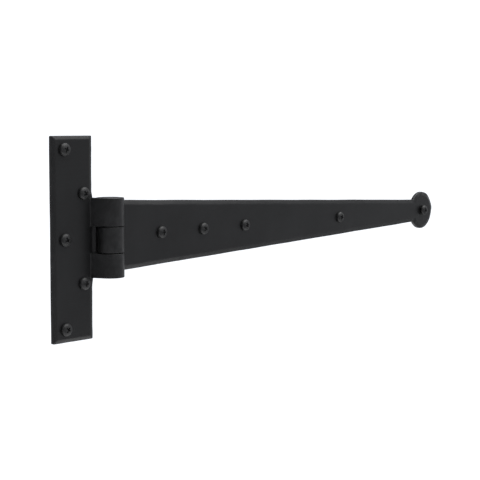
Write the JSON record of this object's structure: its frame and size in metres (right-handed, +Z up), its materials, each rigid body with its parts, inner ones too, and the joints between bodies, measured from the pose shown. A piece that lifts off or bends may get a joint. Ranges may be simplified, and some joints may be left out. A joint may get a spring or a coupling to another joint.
{
  "type": "door hinge",
  "caption": "Black steel tee hinge: upright fixing plate, rolled barrel on a pin, and a long tapered strap that ends in a round penny; round-head screws.",
  "frame": {"origin": "centre of the fixing plate's back face, on the plane of the door frame", "axes": "+X along the strap from the plate to the round end, +Y into the door and its frame, +Z up along the pin"},
  "size_m": [0.496, 0.0296, 0.152],
  "materials": {
    "plate_coat": "satin black powder coat on forged-look steel",
    "strap_coat": "satin black powder coat on forged-look steel",
    "pin_coat": "satin black, rubbed on the end faces",
    "screw_coat": "black japanned round-head screws"
  },
  "bodies": {
    "plate_leaf": {"fixing_plate": "plate_coat", "hinge_pin": "pin_coat", "plate_screw_1": "screw_coat", "plate_screw_2": "screw_coat", "plate_screw_3": "screw_coat", "plate_screw_4": "screw_coat", "plate_screw_5": "screw_coat"},
    "strap_leaf": {"strap": "strap_coat", "strap_screw_1": "screw_coat", "strap_screw_2": "screw_coat", "strap_screw_3": "screw_coat", "strap_screw_4": "screw_coat", "strap_screw_5": "screw_coat"}
  },
  "joints": [
    {"name": "strap_swing", "type": "hinge", "parent": "plate_leaf", "child": "strap_leaf", "pos_m": [0.0305, -0.0105, 0], "axis": [0, 0, -1], "range_deg": [0, 180]}
  ]
}
